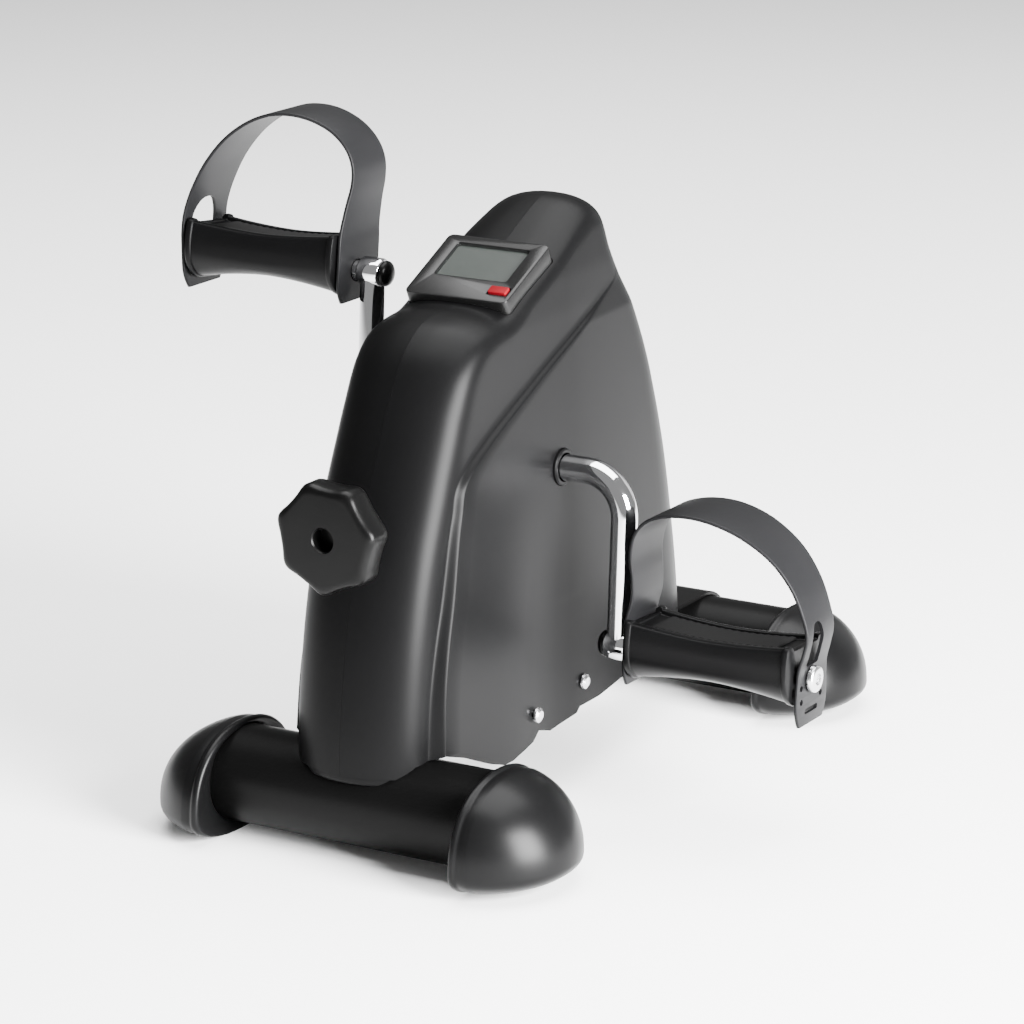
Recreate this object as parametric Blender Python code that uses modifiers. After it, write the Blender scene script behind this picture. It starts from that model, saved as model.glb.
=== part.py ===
"""Pedal exerciser with two cross tubes, a two-part shroud, bent cranks, strapped pedals and a drag knob.

Sizes are millimetres and are turned into metres by MM where a mesh is made. X runs to the right, Y to the
back, Z up. The origin is on the floor, midway between the two cross tubes. Every part is one closed solid
with a small gap to its neighbours.
"""

from math import cos, exp, hypot, pi, radians, sin

import bpy
import bmesh
from mathutils import Matrix, Vector

MM = 0.001
GAP = 0.3
RUNNING = 0.06

# Base
TUBE_Y = 174.0
TUBE_R = 27.8
TUBE_Z = 31.2
TUBE_BORE_R = 25.8
TUBE_HALF = 88.0
CAP_HALF = 130.2
CAP_MOUTH = 81.0
CAP_DEPTH = 50.0
CAP_MID_Z = 15.9
CAP_RISE = 46.2
CAP_DROP = 17.0
CAP_SIDES = 28
CAP_MOUTH_SECTIONS = [(0.0, 0.93), (0.5, 0.975), (2.0, 1.0), (4.0, 0.993), (5.0, 0.972)]
CAP_DOME_SHARES = (0.15, 0.27, 0.4, 0.54, 0.67, 0.79, 0.88, 0.95, 0.99)

# Shroud outline seen from the side as (y, z): up the nose and over the crown, then up the tail
FRONT_OUTLINE = [(-201.5, 26), (-201.5, 68), (-196.6, 110), (-190, 144), (-181.5, 174), (-170, 203),
                 (-157.5, 231), (-148, 251), (-135, 271), (-119, 284), (-101, 289), (-81, 291), (-56, 302.2),
                 (-31, 313.7), (-6, 326.5), (14, 335.2), (27, 336), (37, 331), (44, 320)]
REAR_OUTLINE = [(148, 26), (145.6, 62), (141, 100), (132.5, 139.5), (121, 178.5), (107.5, 212), (91.5, 245),
                (75, 272), (61, 291), (53, 302)]
CROWN_END = (48, 310)
STEP_FOOT = [(-176.5, 26), (-176, 62), (-173.5, 94), (-168, 121), (-160.5, 147), (-150, 189), (-135.5, 213.5),
             (-65.8, 246.5), (12.4, 278), (36, 288.5), (46.5, 304)]
STEP_BAND = 5.5
ROWS = 34
FRONT_COLUMNS = (0.0, 0.06, 0.16, 0.32, 0.55, 0.8)
REAR_COLUMNS = (0.0, 0.18, 0.38, 0.56, 0.71, 0.82, 0.9, 0.955, 0.988, 1.0)
WALL = 2.6
SEAM_GAP = 0.15

# Edge rounding as (share of the way round the outline, depth, power), and half widths by height
EDGE_ROUNDING = [(0.0, 27, 2.1), (0.3, 24, 2.2), (0.38, 16, 2.3), (0.43, 11, 2.4), (0.5, 12, 2.4),
                 (0.6, 20, 2.2), (0.72, 28, 2.1), (0.86, 45, 2.1), (1.0, 55, 2.1)]
NOSE_WIDTH = [(0, 40.5), (190, 40), (280, 38.6), (300, 37.4), (340, 33)]
PANEL_WIDTH = [(40, 49.6), (60, 49), (196, 44), (270, 41), (286, 38.4), (300, 37.4), (340, 33)]
TAPER = 15.0

# Lower edge of the shroud as (y, z)
SKIRT = [(-230, 52), (-193.5, 52), (-185, 58), (-174, 60), (-171, 62), (-151.6, 55.5), (-125, 44), (-110, 39),
         (-101, 38.7), (-76, 42.4), (-69, 47), (-56, 43), (-28.6, 46), (-25, 49.2), (-2, 49.2), (36, 52.7),
         (100, 58), (120, 62), (180, 62)]
SCREW_SPOTS = {"front": (-73.8, 58.0), "rear": (-20.6, 63.0)}

# Display on the sloping top, in a frame that lies in the slope
SLOPE = radians(25.6)
CONSOLE_MID = (0.0, -56.0, 306.6)
CONSOLE_X = 32.9
CONSOLE_Y = 27.5
CONSOLE_TOP = 0.0
CONSOLE_BACK = -14.0

# Cranks
AXLE_Y = -36.9
AXLE_Z = 193.5
CRANK_R = 97.0
CRANK_LEAN = radians(3.64)
ROD_R = 7.56
LEG_X = 85.0
BEND_R = 25.0
EYE_R = 8.6
EYE_HALF = 7.6
EYE_BORE = 4.6
SHROUD_HOLE_R = 10.9

# Pedals and straps, measured outwards from the middle plane and from the pedal's own axis
PEDAL_IN = 99.4
PEDAL_OUT = 201.5
PEDAL_TOP = 17.2
PEDAL_LIFT = 3.0
PEDAL_SHARES = (0.0, 0.035, 0.04, 0.14, 0.27, 0.4, 0.5, 0.6, 0.73, 0.86, 0.96, 0.965, 1.0)
SPINDLE_R = 6.0
SPINDLE_END = 206.0
STRAP_THICK = 2.0
LEFT_STRAP = [(97.3, -17, 0, 21), (97.3, 12.8, 3.5, 21), (97.6, 23.2, 5.2, 20.4), (96.6, 37.8, 8.5, 18.8),
              (94.7, 50.6, 10.8, 17.6), (94.7, 61.7, 10.8, 17.2), (98.8, 71.7, 10.2, 17),
              (107.7, 80.4, 9.4, 17.2), (120, 86.2, 8.2, 18), (133.2, 88.5, 7.1, 18.9), (147.1, 87.3, 6, 19.5),
              (161.9, 81.3, 4.9, 20), (176.1, 70.9, 3.8, 20.5), (188.4, 56.5, 2.9, 21), (197.1, 41, 2.2, 21.5),
              (202.4, 27.4, 1.9, 21.8), (204.2, 16.7, 1.7, 22), (204.2, 6.1, 1.2, 22), (204, -19, 0, 20.5)]
RIGHT_STRAP = [(97.6, -17, 0, 20.5), (97.6, 8, 1.5, 19), (97.7, 20, 2, 18), (101.2, 33, 1.5, 17.5),
               (101.7, 45.7, 0.8, 17.4), (101, 58.2, 0.5, 18.2), (104.1, 71.1, 0.4, 19.6),
               (112.5, 80.6, 0.4, 20.8), (125.4, 85.6, 0.5, 21.8), (140.2, 87, 0.8, 22.4), (155.2, 85, 1.3, 22.2),
               (171.3, 79, 2.1, 21), (187.5, 67.8, 3, 19), (199.4, 52.4, 3.5, 17.2), (206.3, 35.5, 3.7, 16.2),
               (208.3, 25.5, 3.4, 16), (206.6, 16, 3, 16.2), (204.6, 8, 2.5, 16.8), (204.2, 0, 2, 17.4),
               (204.6, -25, 0, 19)]

# Drag wheel, pad and knob
WHEEL_R = 60.0
KNOB_Z = 188.0
KNOB_FACE = -215.6
KNOB_R = 31.6
VALLEY = 3.2
LOBES = 7
LOBE_TURN = radians(9)
SCREW_R = 4.0

PARTS = bpy.data.collections.new("pedal_exerciser")
CUTTERS = bpy.data.collections.new("cutters")


def prepare_scene():
    for obj in list(bpy.data.objects):
        bpy.data.objects.remove(obj, do_unlink=True)
    bpy.context.scene.collection.children.link(PARTS)
    bpy.context.scene.collection.children.link(CUTTERS)


def material(name, colour, roughness, metallic=0.0):
    """A Principled material, made once and shared by name."""
    found = bpy.data.materials.get(name)
    if found:
        return found
    made = bpy.data.materials.new(name)
    made.use_nodes = True
    shader = made.node_tree.nodes["Principled BSDF"]
    shader.inputs["Base Color"].default_value = (*colour, 1.0)
    shader.inputs["Roughness"].default_value = roughness
    shader.inputs["Metallic"].default_value = metallic
    return made


def black_steel():
    return material("satin_black_steel", (0.018, 0.018, 0.019), 0.42)


def shroud_plastic():
    return material("shroud_plastic", (0.022, 0.022, 0.023), 0.48)


def cap_plastic():
    return material("cap_plastic", (0.025, 0.025, 0.026), 0.5)


def pedal_plastic():
    return material("pedal_plastic", (0.02, 0.02, 0.021), 0.45)


def strap_plastic():
    return material("strap_plastic", (0.045, 0.045, 0.048), 0.5)


def tread_rubber():
    return material("tread_rubber", (0.014, 0.014, 0.014), 0.7)


def knob_plastic():
    return material("knob_plastic", (0.016, 0.016, 0.017), 0.35)


def chrome():
    return material("chrome", (0.78, 0.78, 0.8), 0.08, 1.0)


def zinc_steel():
    return material("zinc_steel", (0.55, 0.55, 0.56), 0.3, 1.0)


def wheel_iron():
    return material("wheel_iron", (0.2, 0.2, 0.21), 0.45, 1.0)


def bearing_bronze():
    return material("bearing_bronze", (0.5, 0.36, 0.2), 0.4, 1.0)


def felt():
    return material("felt", (0.35, 0.33, 0.3), 0.95)


def lcd_grey():
    return material("lcd_grey", (0.2, 0.22, 0.2), 0.3)


def lens_clear():
    return material("lens_clear", (0.6, 0.64, 0.62), 0.05)


def button_red():
    return material("button_red", (0.5, 0.03, 0.05), 0.4)


def board_green():
    return material("board_green", (0.03, 0.14, 0.06), 0.5)


# ---------------------------------------------------------------- general shapes

def empty(name, y, z):
    """An empty on a joint's axis, as the parent of what moves about it."""
    made = bpy.data.objects.new(name, None)
    made.empty_display_size = 0.02
    made.location = (0, y * MM, z * MM)
    PARTS.objects.link(made)
    return made


def add_object(name, mesh, finish, parent=None):
    """Put a mesh in the scene; without a finish it is a cutter."""
    obj = bpy.data.objects.new(name, mesh)
    obj.parent = parent
    if finish:
        mesh.materials.append(finish)
        PARTS.objects.link(obj)
    else:
        obj.hide_render = True
        obj.display_type = "WIRE"
        CUTTERS.objects.link(obj)
    return obj


def solid_from(bm, name, finish, parent=None):
    """Finish a bmesh in millimetres as an object in metres with its faces outwards."""
    bmesh.ops.remove_doubles(bm, verts=bm.verts, dist=1e-3)
    bmesh.ops.recalc_face_normals(bm, faces=bm.faces)
    bmesh.ops.scale(bm, vec=(MM, MM, MM), verts=bm.verts)
    mesh = bpy.data.meshes.new(name)
    bm.to_mesh(mesh)
    bm.free()
    return add_object(name, mesh, finish, parent)


def axis_turn(axis):
    """Rotation that carries local Z to the named axis."""
    turns = {"X": Matrix.Rotation(pi / 2, 3, "Y"), "Y": Matrix.Rotation(-pi / 2, 3, "X"), "Z": Matrix.Identity(3)}
    return turns[axis]


def box(name, low, high, finish=None, parent=None):
    """An upright box between two corners, placed by its location."""
    low, high = Vector(low), Vector(high)
    bm = bmesh.new()
    bmesh.ops.create_cube(bm, size=1.0)
    bmesh.ops.scale(bm, vec=high - low, verts=bm.verts)
    obj = solid_from(bm, name, finish, parent)
    obj.location = (low + high) / 2 * MM
    return obj


def rod(name, axis, start, end, radius, finish=None, parent=None, at=(0, 0, 0), segments=32):
    """A straight round bar along an axis, placed by its location and rotation."""
    bm = bmesh.new()
    bmesh.ops.create_cone(bm, cap_ends=True, segments=segments, radius1=radius, radius2=radius,
                          depth=abs(end - start))
    obj = solid_from(bm, name, finish, parent)
    direction = axis_turn(axis) @ Vector((0, 0, 1))
    obj.location = (Vector(at) + direction * (start + end) / 2) * MM
    obj.rotation_euler = axis_turn(axis).to_euler()
    return obj


def evaluated_mesh(obj):
    graph = bpy.context.evaluated_depsgraph_get()
    return bpy.data.meshes.new_from_object(obj.evaluated_get(graph))


def turned(name, axis, profile, finish=None, parent=None, at=(0, 0, 0), segments=32, ring=True, flip=1):
    """Turn a profile of (along, radius) pairs with a Screw modifier; a ring's profile closes on itself."""
    count = len(profile)
    edges = [(i, i + 1) for i in range(count - 1)]
    if ring:
        edges.append((count - 1, 0))
    mesh = bpy.data.meshes.new(name + "_profile")
    mesh.from_pydata([(radius, 0, flip * along) for along, radius in profile], edges, [])
    shape = bpy.data.objects.new(name + "_profile", mesh)
    PARTS.objects.link(shape)
    screw = shape.modifiers.new("turn", "SCREW")
    screw.steps = segments
    screw.render_steps = segments
    screw.use_merge_vertices = True
    screw.merge_threshold = 1e-5
    bm = bmesh.new()
    bm.from_mesh(evaluated_mesh(shape))
    bpy.data.objects.remove(shape, do_unlink=True)
    obj = solid_from(bm, name, finish, parent)
    obj.location = Vector(at) * MM
    obj.rotation_euler = axis_turn(axis).to_euler()
    return obj


def sleeve(name, axis, start, end, outer, inner, finish, parent=None, at=(0, 0, 0), segments=32):
    profile = [(start, inner), (start, outer), (end, outer), (end, inner)]
    return turned(name, axis, profile, finish, parent, at, segments)


def flat_shape(name, outline, thickness, finish=None, parent=None):
    """A flat outline in local XY, filled and given its thickness about the plane."""
    curve = bpy.data.curves.new(name, "CURVE")
    curve.dimensions = "2D"
    curve.fill_mode = "BOTH"
    curve.extrude = thickness / 2
    spline = curve.splines.new("POLY")
    spline.points.add(len(outline) - 1)
    for point, (u, v) in zip(spline.points, outline):
        point.co = (u, v, 0, 1)
    spline.use_cyclic_u = True
    shape = bpy.data.objects.new(name + "_outline", curve)
    PARTS.objects.link(shape)
    bm = bmesh.new()
    bm.from_mesh(evaluated_mesh(shape))
    bpy.data.objects.remove(shape, do_unlink=True)
    return solid_from(bm, name, finish, parent)


def side_profile(name, outline, x, depth, finish=None, parent=None):
    """A (y, z) outline given a depth across X, centred at x."""
    obj = flat_shape(name, outline, depth, finish, parent)
    obj.rotation_euler = (pi / 2, 0, pi / 2)
    obj.location = (x * MM, 0, 0)
    return obj


def bent_bar(name, points, radius, finish, parent=None):
    """A round bar along a line of points, with filled ends."""
    curve = bpy.data.curves.new(name, "CURVE")
    curve.dimensions = "3D"
    curve.bevel_depth = radius
    curve.bevel_resolution = 6
    curve.use_fill_caps = True
    spline = curve.splines.new("POLY")
    spline.points.add(len(points) - 1)
    for point, place in zip(spline.points, points):
        point.co = (*place, 1)
    shape = bpy.data.objects.new(name + "_line", curve)
    PARTS.objects.link(shape)
    bm = bmesh.new()
    bm.from_mesh(evaluated_mesh(shape))
    bpy.data.objects.remove(shape, do_unlink=True)
    return solid_from(bm, name, finish, parent)


def loft(name, rings, finish, parent=None):
    """Skin a row of equal sections that differ in shape, with a flat lid at each end."""
    bm = bmesh.new()
    rows = [[bm.verts.new(v) for v in ring] for ring in rings]
    count = len(rings[0])
    for low, high in zip(rows, rows[1:]):
        for j in range(count):
            k = (j + 1) % count
            bm.faces.new((low[j], low[k], high[k], high[j]))
    bm.faces.new(rows[0])
    bm.faces.new(rows[-1])
    return solid_from(bm, name, finish, parent)


def combine(target, tool, operation="DIFFERENCE"):
    mod = target.modifiers.new(tool.name, "BOOLEAN")
    mod.operation = operation
    mod.solver = "EXACT"
    mod.object = tool


def lookup(table, key, column=1):
    """Straight-line value of a table whose rows start with their key."""
    if key <= table[0][0]:
        return table[0][column]
    for low, high in zip(table, table[1:]):
        if key <= high[0]:
            return low[column] + (high[column] - low[column]) * (key - low[0]) / (high[0] - low[0])
    return table[-1][column]


def smooth_curve(points, count):
    """Evenly spaced points on a smooth curve through the given ones."""
    pts = [Vector(p) for p in points]
    pts = [2 * pts[0] - pts[1]] + pts + [2 * pts[-1] - pts[-2]]
    fine = []
    for p0, p1, p2, p3 in zip(pts, pts[1:], pts[2:], pts[3:]):
        for k in range(8):
            t = k / 8
            fine.append(0.5 * (2 * p1 + (p2 - p0) * t + (2 * p0 - 5 * p1 + 4 * p2 - p3) * t * t
                               + (3 * p1 - p0 - 3 * p2 + p3) * t ** 3))
    fine.append(pts[-2])
    lengths = [0.0]
    for a, b in zip(fine, fine[1:]):
        lengths.append(lengths[-1] + (b - a).length)
    result = []
    i = 0
    for k in range(count):
        want = lengths[-1] * k / (count - 1)
        while i < len(fine) - 2 and lengths[i + 1] < want:
            i += 1
        result.append(fine[i].lerp(fine[i + 1], (want - lengths[i]) / (lengths[i + 1] - lengths[i])))
    return result


def power_of(value, power):
    return abs(value) ** power * (1 if value >= 0 else -1)


# ---------------------------------------------------------------- base

def cap_section(x, share):
    """One upright section of an end cap about its tube's plane."""
    section = []
    for k in range(CAP_SIDES):
        a = 2 * pi * k / CAP_SIDES
        y = CAP_DEPTH * share * power_of(cos(a), 0.89)
        reach = CAP_RISE if sin(a) >= 0 else CAP_DROP
        z = CAP_MID_Z + reach * share * power_of(sin(a), 0.89)
        section.append((x, y, z))
    return section


def make_cap(name, side, y):
    """A wide dome with a bead round its mouth and a plug that fits inside the tube."""
    sections = [cap_section(side * (CAP_MOUTH + x), share) for x, share in CAP_MOUTH_SECTIONS]
    length = CAP_HALF - CAP_MOUTH
    for t in CAP_DOME_SHARES:
        share = (1 - t ** 1.92) ** (1 / 1.92)
        sections.append(cap_section(side * (CAP_MOUTH + length * t), share))
    cap = loft(name, sections, cap_plastic())
    cap.location = (0, y * MM, 0)
    near, far = sorted((side * 60, side * 140))
    combine(cap, box(name + "_floor", (near, y - 70, -20), (far, y + 70, 0)))
    middle = (0, y, TUBE_Z)
    plug = rod(name + "_plug", "X", side * 66, side * 92, TUBE_BORE_R + 1, at=middle, segments=40)
    combine(cap, plug, "UNION")
    slot = [(60, TUBE_BORE_R - GAP), (60, TUBE_R + GAP), (TUBE_HALF + GAP, TUBE_R + GAP),
            (TUBE_HALF + GAP, TUBE_BORE_R - GAP)]
    combine(cap, turned(name + "_slot", "X", slot, at=middle, segments=40, flip=side))


def make_base():
    for place, y in (("front", -TUBE_Y), ("rear", TUBE_Y)):
        sleeve(place + "_base_tube", "X", -TUBE_HALF, TUBE_HALF, TUBE_R, TUBE_BORE_R, black_steel(),
               at=(0, y, TUBE_Z), segments=40)
        make_cap("cap_" + place + "_right", 1, y)
        make_cap("cap_" + place + "_left", -1, y)


def make_saddle():
    """Lip under the nose that follows the front tube."""
    sections = []
    for z, inset in ((46.6, 2.4), (47.6, 1.2), (49, 0.8), (51.6, 0.8)):
        section = []
        for k in range(25):
            a = pi * k / 24
            section.append((-(40.3 - inset) * cos(a), -174.5 - (27 - inset) * sin(a), z))
        sections.append(section + [(30, -172, z), (-30, -172, z)])
    saddle = loft("front_saddle", sections, shroud_plastic())
    combine(saddle, rod("saddle_tube", "X", -60, 60, TUBE_R + GAP, at=(0, -TUBE_Y, TUBE_Z), segments=64))


def make_frame():
    """Welded spine between the cross tubes, with two plates that hold the crank bearings."""
    deck = TUBE_Z + TUBE_R + GAP + 0.2
    box("frame_spine", (-28, -182, deck), (28, 108, deck + 24), black_steel())
    box("rear_bracket", (-12, 108.3, deck), (12, 133, deck + 20), black_steel())
    axle = (0, AXLE_Y, AXLE_Z)
    for tag, side in (("right", 1), ("left", -1)):
        near, far = sorted((side * 20, side * 23.5))
        plate = box("side_plate_" + tag, (near, AXLE_Y - 30, deck + 24.3), (far, AXLE_Y + 30, AXLE_Z + 28),
                    black_steel())
        combine(plate, rod("plate_bore_" + tag, "X", side * 15, side * 30, 15.3, at=axle))
        sleeve("bearing_" + tag, "X", side * 17.5, side * 26, 15.0, ROD_R + RUNNING, bearing_bronze(), at=axle)
        bush = [(38, ROD_R + 0.8), (38, SHROUD_HOLE_R - GAP), (45.2, SHROUD_HOLE_R - GAP),
                (46, SHROUD_HOLE_R - 1.0), (46, ROD_R + 0.8)]
        turned("bush_" + tag, "X", bush, shroud_plastic(), at=axle, flip=side)


# ---------------------------------------------------------------- shroud

def edge_distance(loop, y, z):
    """Distance to the outline, and the share of the way round it to the nearest point."""
    best, where = 1e9, 0.0
    for i, (a, b) in enumerate(zip(loop, loop[1:])):
        side = b - a
        t = ((y - a[0]) * side[0] + (z - a[1]) * side[1]) / side.length_squared
        t = min(1.0, max(0.0, t))
        d = hypot(y - a[0] - t * side[0], z - a[1] - t * side[1])
        if d < best:
            best, where = d, (i + t) / (len(loop) - 1)
    return best, where


def half_width(loop, y, z, panel):
    """Half width of the shroud at a side position; panel is 0 on the nose and 1 on the raised side."""
    distance, where = edge_distance(loop, y, z)
    depth = lookup(EDGE_ROUNDING, where, 1)
    power = lookup(EDGE_ROUNDING, where, 2)
    width = lookup(NOSE_WIDTH, z) * (1 - panel) + lookup(PANEL_WIDTH, z) * panel
    width -= TAPER * max(0.0, (y + 20) / 180) ** 1.5
    q = max(0.0, 1 - distance / depth)
    return width * max(0.0, 1 - q ** power) ** (1 / power)


def shroud_outline():
    return smooth_curve(FRONT_OUTLINE + [CROWN_END] + REAR_OUTLINE[::-1], 90)


def shroud_row(front, foot, rear):
    """Side positions across one row as (y, z, panel), with the step's foot and top edge among them."""
    back = rear - foot
    top = foot + back.normalized() * min(STEP_BAND, 0.4 * back.length)
    row = [(*front.lerp(foot, t), 0.0) for t in FRONT_COLUMNS]
    row.append((*foot, 0.0))
    row += [(*top.lerp(rear, t), 1.0) for t in REAR_COLUMNS]
    return row


def shroud_skin(name, side):
    """One side of the shroud as an open skin, row by row from the foot to the crown."""
    loop = shroud_outline()
    front, foot, rear = (smooth_curve(line, ROWS) for line in (FRONT_OUTLINE, STEP_FOOT, REAR_OUTLINE))
    rows = [shroud_row(*points) for points in zip(front, foot, rear)]
    count = len(rows[0])
    rows[-1] = [(*p, 0.0) for p in smooth_curve([front[-1], CROWN_END, rear[-1]], count)]
    bm = bmesh.new()
    grid = []
    for k, row in enumerate(rows):
        line = []
        for j, (y, z, panel) in enumerate(row):
            rim = j in (0, count - 1) or k == ROWS - 1
            x = 0.0 if rim else half_width(loop, y, z, panel)
            line.append(bm.verts.new((side * x * MM, y * MM, z * MM)))
        grid.append(line)
    for low, high in zip(grid, grid[1:]):
        for j in range(count - 1):
            corners = (low[j], low[j + 1], high[j + 1], high[j])
            bm.faces.new(corners if side > 0 else corners[::-1])
    mesh = bpy.data.meshes.new(name)
    bm.to_mesh(mesh)
    bm.free()
    return add_object(name, mesh, shroud_plastic())


def make_shroud():
    """Two mirrored half shells, split on the middle plane and cut for what passes through them."""
    skirt = side_profile("skirt_cutter", [(-230, -10)] + SKIRT + [(180, -10)], 0, 200)
    axle = rod("axle_cutter", "X", -80, 80, SHROUD_HOLE_R, at=(0, AXLE_Y, AXLE_Z))
    knob = rod("knob_cutter", "Y", -230, -150, 9.0, at=(0, 0, KNOB_Z), segments=24)
    console = slope_plate("console_cutter", CONSOLE_X + GAP, CONSOLE_Y + GAP, -30, 30, 4.0, 4)
    for tag, side in (("right", 1), ("left", -1)):
        half = shroud_skin("shroud_" + tag, side)
        shell = half.modifiers.new("wall", "SOLIDIFY")
        shell.thickness = WALL * MM
        shell.offset = -1.0
        shell.use_even_offset = True
        other = box("other_side_" + tag, (min(SEAM_GAP * side, -60 * side), -260, -20),
                    (max(SEAM_GAP * side, -60 * side), 260, 400))
        for tool in (skirt, axle, knob, console, other):
            combine(half, tool)
        for place, (y, z) in SCREW_SPOTS.items():
            hole = rod(f"screw_hole_{tag}_{place}", "X", side * 35, side * 60, 2.7, at=(0, y, z), segments=16)
            combine(half, hole)


def make_shroud_fixings():
    """A tab on each side of the spine takes two screws through the shroud."""
    loop = shroud_outline()
    for tag, side in (("right", 1), ("left", -1)):
        near, far = sorted((side * 28.3, side * 38.5))
        tab = box("screw_tab_" + tag, (near, -84, 50), (far, -10, 72), black_steel())
        for place, (y, z) in SCREW_SPOTS.items():
            combine(tab, rod(f"tab_hole_{tag}_{place}", "X", side * 20, side * 45, 2.7, at=(0, y, z), segments=16))
            face = half_width(loop, y, z, 1.0) + 0.5
            profile = [(30.5, 0), (30.5, 2.3), (face, 2.3), (face, 4.6), (face + 1.2, 4.3), (face + 2.2, 2.6),
                       (face + 2.4, 0)]
            turned(f"shroud_screw_{tag}_{place}", "X", profile, zinc_steel(), at=(0, y, z), segments=16,
                   ring=False, flip=side)


# ---------------------------------------------------------------- drive

def make_crank(tag, side, pivot):
    """A chromed rod that leaves the hub, bends and runs down to the pedal eye, about the axle's own origin."""
    down = Vector((0, -sin(CRANK_LEAN), -cos(CRANK_LEAN))) * side
    out = Vector((side, 0, 0))
    corner = out * (LEG_X - BEND_R)
    points = [out * 0.5, out * 30, corner]
    for k in range(1, 9):
        a = radians(90 * k / 8)
        points.append(corner + down * BEND_R * (1 - cos(a)) + out * BEND_R * sin(a))
    leg = out * LEG_X
    points += [leg + down * 62, leg + down * (CRANK_R + 4)]
    crank = bent_bar("crank_" + tag, points, ROD_R, chrome(), pivot)
    eye = leg + down * CRANK_R
    boss = rod("eye_boss_" + tag, "X", side * (LEG_X - EYE_HALF), side * (LEG_X + EYE_HALF), EYE_R,
               parent=pivot, at=(0, eye.y, eye.z), segments=32)
    combine(crank, boss, "UNION")
    combine(crank, rod("eye_bore_" + tag, "X", side * 70, side * 100, EYE_BORE, parent=pivot,
                       at=(0, eye.y, eye.z), segments=24))


def pedal_axis(side):
    """Place (y, z) of a pedal's axis; the right crank hangs down and the left one stands up."""
    return AXLE_Y - side * CRANK_R * sin(CRANK_LEAN), AXLE_Z - side * CRANK_R * cos(CRANK_LEAN)


def make_drive():
    axle = empty("crank_axis", AXLE_Y, AXLE_Z)
    sleeve("crank_hub", "X", -15, 15, 12.0, ROD_R + RUNNING, zinc_steel(), axle)
    profile = [(-5, 12.3), (-5, 22), (-2.5, 24), (-2.5, 48), (-8, 50), (-8, WHEEL_R), (8, WHEEL_R), (8, 50),
               (2.5, 48), (2.5, 24), (5, 22), (5, 12.3)]
    turned("drag_wheel", "X", profile, wheel_iron(), axle, segments=48)
    rod("sensor_magnet", "X", -7.6, -2.8, 4.0, zinc_steel(), axle, at=(0, 0, -38), segments=20)
    make_crank("right", 1, axle)
    make_crank("left", -1, axle)


def make_pedal(tag, side, pitch, pivot):
    """Waisted pedal with two ridges and a sunk tread, bored for its spindle."""
    sections, treads = [], []
    turn = Matrix.Rotation(pitch, 3, "X")
    for share in PEDAL_SHARES:
        x = side * (PEDAL_IN + (PEDAL_OUT - PEDAL_IN) * share)
        waist = 1 - abs(2 * share - 1) ** 1.7
        top, bottom = PEDAL_LIFT + PEDAL_TOP - 3.6 * waist, PEDAL_LIFT - PEDAL_TOP + 5.8 * waist
        wide = 22.2 - 1.2 * waist
        flange = 1.05 if share < 0.037 or share > 0.963 else 1.0
        half = [(wide, PEDAL_LIFT - 7), (wide + 0.4, PEDAL_LIFT + 6), (wide - 2.2, top), (wide - 6.8, top),
                (wide - 7.8, top - 2.4)]
        outline = half + [(-v, w) for v, w in half[::-1]]
        outline += [(-14, bottom + 2), (-6, bottom), (6, bottom), (14, bottom + 2)]
        sections.append([(x, *(turn @ Vector((0, v * flange, w * flange))).yz) for v, w in outline])
        if 0.1 < share < 0.9:
            slab = ((12.6, top - 0.9), (12.6, top - 2.1), (-12.6, top - 2.1), (-12.6, top - 0.9))
            treads.append([(x, *(turn @ Vector((0, v, w))).yz) for v, w in slab])
    pedal = loft("pedal_" + tag, sections, pedal_plastic(), pivot)
    combine(pedal, rod("pedal_bore_" + tag, "X", side * 90, side * 215, SPINDLE_R + RUNNING, parent=pivot))
    loft("tread_" + tag, treads, tread_rubber(), pivot)


def make_spindle(tag, side, pivot):
    """Steel pin through the pedal and the crank eye, with a domed nut on the inner side."""
    shoulder = LEG_X + EYE_HALF + GAP
    face = LEG_X - EYE_HALF - GAP
    pin = [(face - 1.6, 0), (face - 1.6, 4.4), (shoulder, 4.4), (shoulder, SPINDLE_R), (SPINDLE_END, SPINDLE_R),
           (SPINDLE_END, 7.6), (SPINDLE_END + 2.6, 7.6), (SPINDLE_END + 3.8, 5.6), (SPINDLE_END + 3.8, 0)]
    turned("spindle_" + tag, "X", pin, zinc_steel(), pivot, ring=False, flip=side)
    nut = [(face, 4.6), (face, 7.4), (face - 1.4, 7.4), (face - 3, 6.2), (face - 4, 3.8), (face - 4.4, 0),
           (face - 2.2, 0), (face - 2.2, 4.6)]
    turned("cap_nut_" + tag, "X", nut, knob_plastic(), pivot, segments=24, flip=side)


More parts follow.
